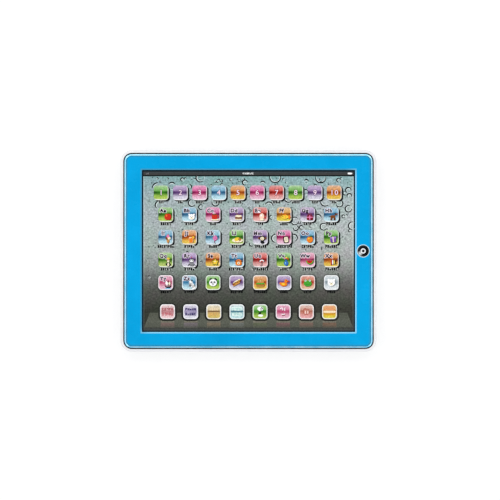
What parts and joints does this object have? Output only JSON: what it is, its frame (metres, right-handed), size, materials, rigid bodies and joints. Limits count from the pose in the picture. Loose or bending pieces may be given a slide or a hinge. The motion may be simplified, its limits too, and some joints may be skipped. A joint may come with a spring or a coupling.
{
  "type": "toy tablet computer",
  "caption": "Flat toy learning tablet: white rear cover, blue frame with bright trim, printed touch icons in a wide window and a round home key at the right.",
  "frame": {"origin": "middle of the footprint, on the plane that the four feet stand on", "axes": "+X to the right of the face, where the home key is; +Y to the top of the face; +Z out of the face"},
  "size_m": [0.24, 0.189, 0.0203],
  "materials": {
    "frame_plastic": "gloss",
    "trim_chrome": "bright plated plastic",
    "ring_chrome": "bright",
    "key_plastic": "gloss",
    "mark_plastic": "gloss",
    "dome_rubber": "matte",
    "carbon_rubber": "matte",
    "board": "glass-fibre board with resist",
    "screw_steel": "zinc plated",
    "printed_sheet": "printed film",
    "film": "clear polyester film",
    "inner_plastic": "natural",
    "cover_plastic": "gloss",
    "foot_rubber": "matte",
    "cell_can": "printed sleeve",
    "contact_metal": "nickel plated",
    "resin": "cured resin",
    "connector_plastic": "satin",
    "speaker_steel": "zinc plated",
    "cone_paper": "pressed paper",
    "foam": "foam",
    "lead_black": "PVC",
    "lead_red": "PVC"
  },
  "bodies": {
    "case": {"front_frame": "frame_plastic", "edge_trim": "trim_chrome", "home_ring": "ring_chrome", "button_dome": "dome_rubber", "button_board": "board", "key_board_screws": "screw_steel", "touch_sheet": "printed_sheet", "membrane_upper_film": "film", "membrane_spacer": "film", "membrane_lower_film": "film", "backing_plate": "inner_plastic", "plate_screws": "screw_steel", "rear_cover": "cover_plastic", "case_screws": "screw_steel", "foot_rear_left": "foot_rubber", "foot_rear_right": "foot_rubber", "foot_front_left": "foot_rubber", "foot_front_right": "foot_rubber", "battery_cell_1": "cell_can", "battery_cell_2": "cell_can", "battery_cell_3": "cell_can", "flat_contacts": "contact_metal", "spring_contacts": "contact_metal", "main_board": "board", "main_board_screws": "screw_steel", "sound_chip": "resin", "tail_connector": "connector_plastic", "board_components": "resin", "speaker_frame": "speaker_steel", "speaker_cone": "cone_paper", "speaker_magnet": "speaker_steel", "speaker_gasket": "foam", "speaker_screws": "screw_steel", "battery_lead_black": "lead_black", "battery_lead_red": "lead_red", "speaker_leads": "lead_black", "button_leads": "lead_red"},
    "home_button": {"home_button": "key_plastic", "home_button_mark": "mark_plastic", "contact_pill": "carbon_rubber"},
    "battery_door": {"battery_door": "cover_plastic"},
    "screw_retainer": {"screw_retainer": "inner_plastic"},
    "door_screw": {"door_screw": "screw_steel"}
  },
  "joints": [
    {"name": "home_key_press", "type": "slide", "parent": "case", "child": "home_button", "axis": [0, 0, -1], "range_m": [0, 0.0009], "stiffness_N_per_m": 1500, "springref_m": -0.0005, "deforming": ["button_dome"]},
    {"name": "door_swing", "type": "hinge", "parent": "case", "child": "battery_door", "pos_m": [-0.0341, 0.0445, 0.00175], "axis": [0, 1, 0], "range_deg": [0, 95]},
    {"name": "door_screw_travel", "type": "slide", "parent": "battery_door", "child": "screw_retainer", "axis": [0, 0, -1], "range_m": [0, 0.003]},
    {"name": "door_screw_turn", "type": "hinge", "parent": "screw_retainer", "child": "door_screw", "pos_m": [0.02835, 0.0445, 0.0026], "axis": [0, 0, -1], "range_deg": [0, 1080]}
  ],
  "couplings": [
    {"joint": "door_screw_turn", "follows": "door_screw_travel", "rad_per_m": 6283.2}
  ]
}
